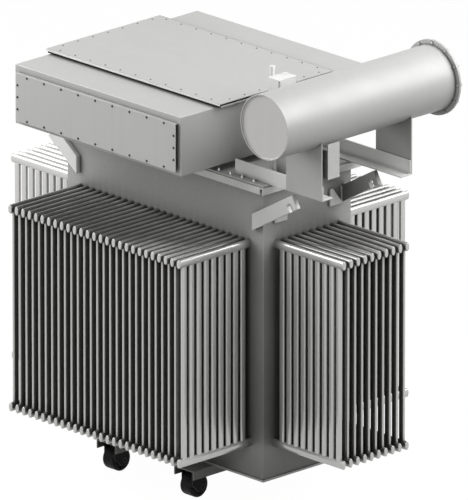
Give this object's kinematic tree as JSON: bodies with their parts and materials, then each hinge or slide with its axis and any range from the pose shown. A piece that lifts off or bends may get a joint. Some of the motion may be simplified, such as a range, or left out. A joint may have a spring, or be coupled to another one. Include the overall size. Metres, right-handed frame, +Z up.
{
  "type": "oil-immersed transformer",
  "caption": "Oil-immersed power transformer with tube-panel radiators on every side, a closed terminal box on its cover, a cylindrical oil conservator, lifting lugs and wheels that roll.",
  "frame": {"origin": "on the floor under the middle of the tank", "axes": "+X along the tank towards the conservator, +Y across the tank to the rear, +Z up"},
  "size_m": [2.564, 1.704, 2.5095],
  "materials": {
    "grey_paint": "satin",
    "radiator_paint": "satin",
    "dark_paint": "satin",
    "white_paint": "satin",
    "wheel_black": "matt",
    "steel": "satin",
    "plate_metal": "satin"
  },
  "bodies": {
    "tank": {"base_plate": "dark_paint", "tank_front_wall": "grey_paint", "tank_rear_wall": "grey_paint", "tank_end_walls": "grey_paint", "flange_long_bars": "grey_paint", "flange_end_bars": "grey_paint", "tank_cover": "grey_paint", "base_channels": "dark_paint", "wheel_forks": "dark_paint", "wheel_axles": "steel", "front_radiator_left": "radiator_paint", "front_radiator_middle": "radiator_paint", "front_radiator_right": "radiator_paint", "rear_radiator_left": "radiator_paint", "rear_radiator_middle": "radiator_paint", "rear_radiator_right": "radiator_paint", "left_end_radiator": "radiator_paint", "right_end_radiator": "radiator_paint", "lifting_lugs": "grey_paint", "lug_pads": "grey_paint", "box_plinth": "grey_paint", "box_floor": "grey_paint", "box_front_wall": "grey_paint", "box_rear_wall": "grey_paint", "box_end_walls": "grey_paint", "box_top": "grey_paint", "box_lid": "grey_paint", "front_panel": "grey_paint", "rear_panel": "grey_paint", "conservator_shell": "grey_paint", "conservator_end": "grey_paint", "conservator_flange": "grey_paint", "conservator_cover": "grey_paint", "support_angles": "grey_paint", "saddle_plates": "grey_paint", "rating_plate": "plate_metal", "plate_bar_bracket": "grey_paint", "oil_riser": "grey_paint", "oil_relay": "white_paint", "vent_pipe": "white_paint", "oil_pipe": "grey_paint"},
    "front_left_wheel_body": {"front_left_wheel": "wheel_black"},
    "front_right_wheel_body": {"front_right_wheel": "wheel_black"},
    "rear_left_wheel_body": {"rear_left_wheel": "wheel_black"},
    "rear_right_wheel_body": {"rear_right_wheel": "wheel_black"}
  },
  "joints": [
    {"name": "front_left_wheel_spin", "type": "hinge", "parent": "tank", "child": "front_left_wheel_body", "pos_m": [-0.3, -0.4, 0.065], "axis": [1, 0, 0], "continuous": true},
    {"name": "front_right_wheel_spin", "type": "hinge", "parent": "tank", "child": "front_right_wheel_body", "pos_m": [0.3, -0.4, 0.065], "axis": [1, 0, 0], "continuous": true},
    {"name": "rear_left_wheel_spin", "type": "hinge", "parent": "tank", "child": "rear_left_wheel_body", "pos_m": [-0.3, 0.4, 0.065], "axis": [1, 0, 0], "continuous": true},
    {"name": "rear_right_wheel_spin", "type": "hinge", "parent": "tank", "child": "rear_right_wheel_body", "pos_m": [0.3, 0.4, 0.065], "axis": [1, 0, 0], "continuous": true}
  ]
}
